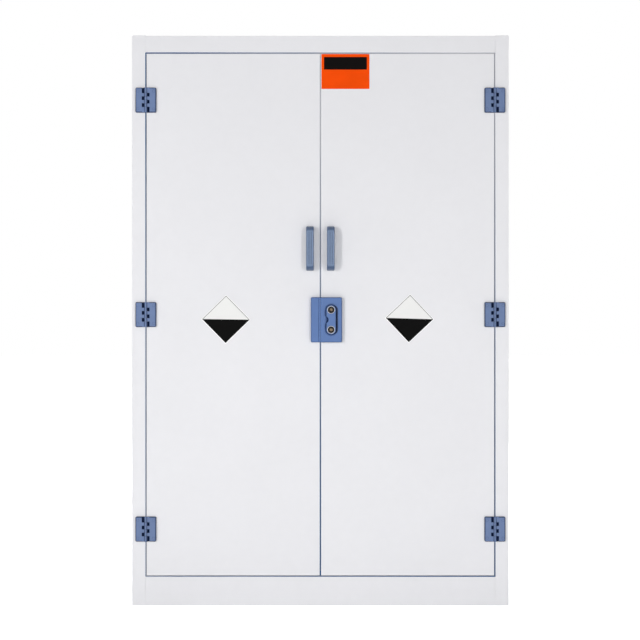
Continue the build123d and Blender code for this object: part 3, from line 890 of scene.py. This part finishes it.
@dataclass
class Carcass:
    """White carcass with weld beads in its corners and blue edging round its opening."""

    bead_radius: float = 3.0 * MM
    bead_ripple: float = 0.35 * MM
    bead_pitch: float = 5.0 * MM
    bead_sides: int = 8
    bead_start: float = 2.0 * MM  # behind the stop strips
    side_show: float = 1.7 * MM
    top_show: float = 2.3 * MM
    bottom_show: float = 1.7 * MM
    edging_proud: float = 0.05 * MM
    edging_depth: float = 4.0 * MM
    edging_sink: float = 1.1 * MM  # how far the edging laps over the frame
    edging_round: float = 0.3 * MM

    def bead(self, mesh: Mesh, start: Vector, end: Vector) -> None:
        """Add one rippled weld bead.

        Args:
            mesh: the mesh that it is added to.
            start: its first end.
            end: its other end.
        """
        run = end - start
        direction = run.normalized()
        turn = run.to_track_quat("Z", "Y").to_matrix().to_4x4()
        made = bmesh.ops.create_cone(
            mesh, cap_ends=True, segments=self.bead_sides, radius1=self.bead_radius,
            radius2=self.bead_radius, depth=run.length,
            matrix=Matrix.Translation((start + end) / 2) @ turn,
        )
        nearly_whole = 0.9 * run.length
        cuts = bmesh.ops.subdivide_edges(
            mesh, edges=[edge for edge in edges_of(made) if edge.calc_length() > nearly_whole],
            cuts=round(2 * run.length / self.bead_pitch), use_grid_fill=True,
        )
        ripple = self.bead_ripple / self.bead_radius
        for vert in {item for item in cuts["geom_inner"] if isinstance(item, bmesh.types.BMVert)}:
            along = (vert.co - start).dot(direction)
            middle = start + direction * along
            swell = ripple * math.cos(2 * math.pi * along / self.bead_pitch)
            vert.co = middle + (vert.co - middle) * (1.0 + swell)

    def weld_beads(self, material: Material) -> None:
        """Make the beads in the inner corners round the back, the floor and the top.

        Args:
            material: their finish.
        """
        back_low, back_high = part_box("back_panel")
        front_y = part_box("stop_strips")[1].y + self.bead_start
        ends_z = (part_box("floor_panel")[1].z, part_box("top_panel")[0].z)
        ends_x = (back_low.x, back_high.x)
        mesh = bmesh.new()
        for x in ends_x:
            self.bead(mesh, *(Vector((x, back_low.y, z)) for z in ends_z))
            for z in ends_z:
                self.bead(mesh, Vector((x, front_y, z)), Vector((x, back_low.y, z)))
        for z in ends_z:
            self.bead(mesh, *(Vector((x, back_low.y, z)) for x in ends_x))
        bmesh.ops.recalc_face_normals(mesh, faces=mesh.faces)
        add_piece("carcass_weld_beads", mesh, "cabinet", material)

    def frame_edging(self, material: Material) -> None:
        """Line the opening with blue edging that just laps over the front.

        Args:
            material: its finish.
        """
        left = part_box("front_stile_left")[1].x
        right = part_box("front_stile_right")[0].x
        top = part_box("top_rail")[0].z
        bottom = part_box("plinth_rail")[1].z
        front_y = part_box("top_rail")[0].y - self.edging_proud
        rear_y = front_y + self.edging_depth
        sink = self.edging_sink
        mesh = bmesh.new()
        for low, high in (
            ((left - sink, front_y, bottom), (left + self.side_show, rear_y, top)),
            ((right - self.side_show, front_y, bottom), (right + sink, rear_y, top)),
            ((left, front_y, top - self.top_show), (right, rear_y, top + sink)),
            ((left, front_y, bottom - sink), (right, rear_y, bottom + self.bottom_show)),
        ):
            edging(mesh, low, high, self.edging_round)
        add_piece("frame_edging", mesh, "cabinet", material)

    def build(self) -> None:
        """Dress the carcass and add its beads and edging."""
        white = dress(WHITE_SHEET, *nodes_of("white_sheet"))
        dress(BLUE_BAR, *nodes_of("blue_edge"))
        self.weld_beads(white)
        self.frame_edging(FRAME_EDGING.build())


@dataclass
class Doors:
    """Edging along the meeting edges of the two doors."""

    show: float = 1.1 * MM  # how far it reaches into the gap
    sink: float = 0.6 * MM  # how far it laps over the door
    proud: float = 0.05 * MM
    depth: float = 4.0 * MM
    rounding: float = 0.25 * MM

    def build(self) -> None:
        """Make the edging of each door."""
        material = MEETING_EDGING.build()
        for side, name in ((-1, "left_door"), (1, "right_door")):
            low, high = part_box(f"{name}_panel")
            edge_x = high.x if side < 0 else low.x
            ends_x = sorted((edge_x + side * self.sink, edge_x - side * self.show))
            front_y = low.y - self.proud
            mesh = bmesh.new()
            edging(
                mesh,
                (ends_x[0], front_y, low.z),
                (ends_x[1], front_y + self.depth, high.z),
                self.rounding,
            )
            add_piece(f"{name}_meeting_edging", mesh, name, material)


@dataclass
class Hinges:
    """Moulded hinges with round caps over their screws."""

    cap_radius: float = 3.9 * MM
    cap_proud: float = 0.25 * MM
    cap_round: float = 0.2 * MM
    cap_sides: int = 28
    barrel_step: float = 1.9 * MM  # from the front of the barrel back to the leaf's face
    weld_distance: float = 0.001 * MM  # vertices closer than this are one

    def screw_places(self, node: str) -> list[tuple[float, float]]:
        """Middle of each screw of a group, in x and z.

        Args:
            node: the group's node.

        Returns:
            The places.
        """
        mesh = bmesh.new()
        mesh.from_mesh(frame["nodes"][node].data)
        bmesh.ops.remove_doubles(mesh, verts=mesh.verts, dist=self.weld_distance)
        waiting = set(mesh.verts)
        places = []
        while waiting:
            island = [waiting.pop()]
            for vert in island:
                near = {edge.other_vert(vert) for edge in vert.link_edges} & waiting
                waiting -= near
                island.extend(near)
            xs = [vert.co.x for vert in island]
            zs = [vert.co.z for vert in island]
            places.append(((min(xs) + max(xs)) / 2, (min(zs) + max(zs)) / 2))
        mesh.free()
        return sorted(places)

    def caps(self, screws: str, leaf: str, body: str, material: Material) -> None:
        """Make the caps over one group of screws.

        Args:
            screws: the screws' node.
            leaf: a leaf that they hold.
            body: the body that the leaf moves with.
            material: their finish.
        """
        face_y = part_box(leaf)[0].y + self.barrel_step
        mesh = bmesh.new()
        turn = Matrix.Rotation(math.pi / 2, 4, "X")
        for x, z in self.screw_places(screws):
            made = bmesh.ops.create_cone(
                mesh, cap_ends=True, segments=self.cap_sides, radius1=self.cap_radius,
                radius2=self.cap_radius, depth=2 * self.cap_proud,
                matrix=Matrix.Translation((x, face_y, z)) @ turn,
            )
            front = [
                edge for edge in edges_of(made) if all(vert.co.y < face_y for vert in edge.verts)
            ]
            round_edges(mesh, front, self.cap_round)
        add_piece(f"{screws}_caps", mesh, body, material)

    def build(self) -> None:
        """Dress the hinges and add their caps."""
        plastic = dress(HINGE_PLASTIC, *nodes_of("hinge_plastic"))
        self.caps("frame_hinge_screws", "left_upper_frame_leaf", "cabinet", plastic)
        for side in ("left", "right"):
            door = f"{side}_door"
            self.caps(f"{door}_hinge_screws", f"{side}_upper_door_leaf", door, plastic)


@dataclass
class Fittings:
    """Handles, lock, trays and steel parts, whose shapes all come from the frame."""

    finishes: tuple[tuple[str, Finish], ...] = (
        ("handle_plastic", HANDLE_PLASTIC),
        ("lock_plastic", LOCK_PLASTIC),
        ("lock_rim", BRIGHT_RIM),
        ("lock_brass", KEY_BRASS),
        ("steel", STEEL),
        ("tray_sheet", TRAY_SHEET),
    )

    def build(self) -> None:
        """Dress the fittings."""
        for slot, finish in self.finishes:
            dress(finish, *nodes_of(slot))
        dress(KEEPER_PLASTIC, "lock_keeper")
        dress(PLATE_PLASTIC, "lock_faceplate")


@dataclass
class Labels:
    """Bare notice and the two bare diamonds."""

    tilts: tuple[tuple[str, float], ...] = (("left", -0.75), ("right", -1.7))  # degrees

    def build(self) -> None:
        """Dress the labels."""
        dress(NoticeFinish("notice_label"), "notice_label")
        for side, tilt in self.tilts:
            node = f"diamond_label_{side}"
            dress(DiamondFinish(node, tilt=tilt), node)


# ---- Studio --------------------------------------------------------------------------------
@dataclass(frozen=True)
class Lamp:
    """One soft lamp, placed by its direction from the cabinet."""

    name: str
    angle: float  # degrees round the cabinet, from straight in front
    share: float  # of full light, on a face that looks to the front, the back or the lamp
    width: float
    height: float
    lift: float = 0.0  # above the target
    distance: float = 6.0
    climb: float = 0.0  # degrees above level

    def build(self, target: Vector) -> None:
        """Hang the lamp.

        Args:
            target: the point that it is turned to, when it isn't lifted.
        """
        angle = math.radians(self.angle)
        climb = math.radians(self.climb)
        level = Vector((math.sin(angle), -math.cos(angle), 0.0)) * math.cos(climb)
        away = (level + Vector((0.0, 0.0, math.sin(climb)))) * self.distance
        data = bpy.data.lights.new(self.name, "AREA")
        data.shape = "RECTANGLE"
        data.size = self.width
        data.size_y = self.height
        data.energy = self.share * math.pi**2 * self.distance**2 / abs(math.cos(angle))
        lamp = bpy.data.objects.new(self.name, data)
        lamp.location = target + away + Vector((0.0, 0.0, self.lift))
        lamp.rotation_euler = (-away).to_track_quat("-Z", "Y").to_euler()
        bpy.context.scene.collection.objects.link(lamp)


@dataclass
class Studio:
    """Pale floor, soft lamps, a white surround and the camera."""

    lens: float = 85.0
    sensor: float = 36.0
    view_height: float = 1852.0 * MM
    view_centre: tuple[float, float] = (-1.1 * MM, 826.4 * MM)
    target: Place = (0.0, -0.23, 0.9)
    surround: float = 0.205
    floor_half: float = 30.0
    floor_glow: float = 0.82
    floor_roughness: float = 0.9
    floor_gloss: float = 0.1
    floor_patch: float = 0.6
    floor_shades: tuple[float, float] = (0.86, 0.88)
    lamps: tuple[Lamp, ...] = (
        Lamp("left_key", -31.0, 0.26, 0.65, 1.3, lift=0.55),
        Lamp("right_key", 21.5, 0.19, 0.65, 1.3, lift=0.55),
        Lamp("front_fill", -4.0, 0.14, 1.6, 1.0, lift=-0.7, distance=4.5),
        Lamp("foot_fill", 0.0, 0.135, 2.2, 0.08, lift=-0.85, distance=1.1),
        Lamp("rear_left", -150.0, 0.30, 2.0, 2.0, lift=1.6),
        Lamp("rear_right", 150.0, 0.30, 2.0, 2.0, lift=1.6),
        Lamp("overhead", 180.0, 0.38, 1.6, 1.6, climb=80.0),
    )

    def camera(self) -> None:
        """Stand the camera straight in front, level with the middle of the picture."""
        data = bpy.data.cameras.new("camera")
        data.lens = self.lens
        data.sensor_width = self.sensor
        data.sensor_fit = "HORIZONTAL"
        distance = self.view_height * self.lens / self.sensor
        front_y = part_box("left_door_panel")[0].y
        camera = bpy.data.objects.new("camera", data)
        camera.location = (self.view_centre[0], front_y - distance, self.view_centre[1])
        camera.rotation_euler = (math.pi / 2, 0.0, 0.0)
        bpy.context.scene.collection.objects.link(camera)
        bpy.context.scene.camera = camera

    def white_surround(self) -> None:
        """Light from all round, which the camera, gloss and glass see as white."""
        world = bpy.data.worlds.new("surround")
        world.use_nodes = True
        nodes = Nodes(world.node_tree)
        rays = nodes.add("LightPath").outputs
        gloss = nodes.math("MAXIMUM", rays["Is Glossy Ray"], rays["Is Transmission Ray"])
        seen = nodes.math("MAXIMUM", rays["Is Camera Ray"], gloss)
        light = nodes.add("Background")
        nodes.feed(light.inputs["Color"], WHITE)
        nodes.feed(light.inputs["Strength"], nodes.span(seen, 0.0, 1.0, self.surround, 1.0))
        nodes.feed(nodes.add("OutputWorld").inputs["Surface"], light.outputs["Background"])
        bpy.context.scene.world = world

    def floor(self) -> None:
        """Lay the pale floor, which looks white to the camera and keeps shadows."""
        mesh = bmesh.new()
        bmesh.ops.create_grid(mesh, x_segments=2, y_segments=2, size=self.floor_half)
        data = settle(mesh, "studio_floor")
        graph = Graph("studio_floor")
        shade = graph.vary(graph.noise(self.floor_patch, 3.0), *self.floor_shades)
        rays = graph.add("LightPath").outputs
        graph.set(
            Base_Color=graph.mix(1.0, WHITE, shade, Blend.MULTIPLY),
            Roughness=self.floor_roughness,
            Specular_IOR_Level=self.floor_gloss,
            Emission_Color=WHITE,
            Emission_Strength=graph.math("MULTIPLY", rays["Is Camera Ray"], self.floor_glow),
        )
        data.materials.append(graph.material)
        floor = bpy.data.objects.new("studio_floor", data)
        bpy.context.scene.collection.objects.link(floor)

    def build(self) -> None:
        """Set up the whole studio."""
        self.camera()
        for lamp in self.lamps:
            lamp.build(Vector(self.target))
        self.white_surround()
        self.floor()
        bpy.context.scene.view_settings.view_transform = "Standard"


def main() -> None:
    """Dress the cabinet and set up the studio."""
    logging.basicConfig(level=logging.INFO, format="%(message)s")
    Studio().build()
    Carcass().build()
    Doors().build()
    Hinges().build()
    Fittings().build()
    Labels().build()


if __name__ == "__main__":
    main()
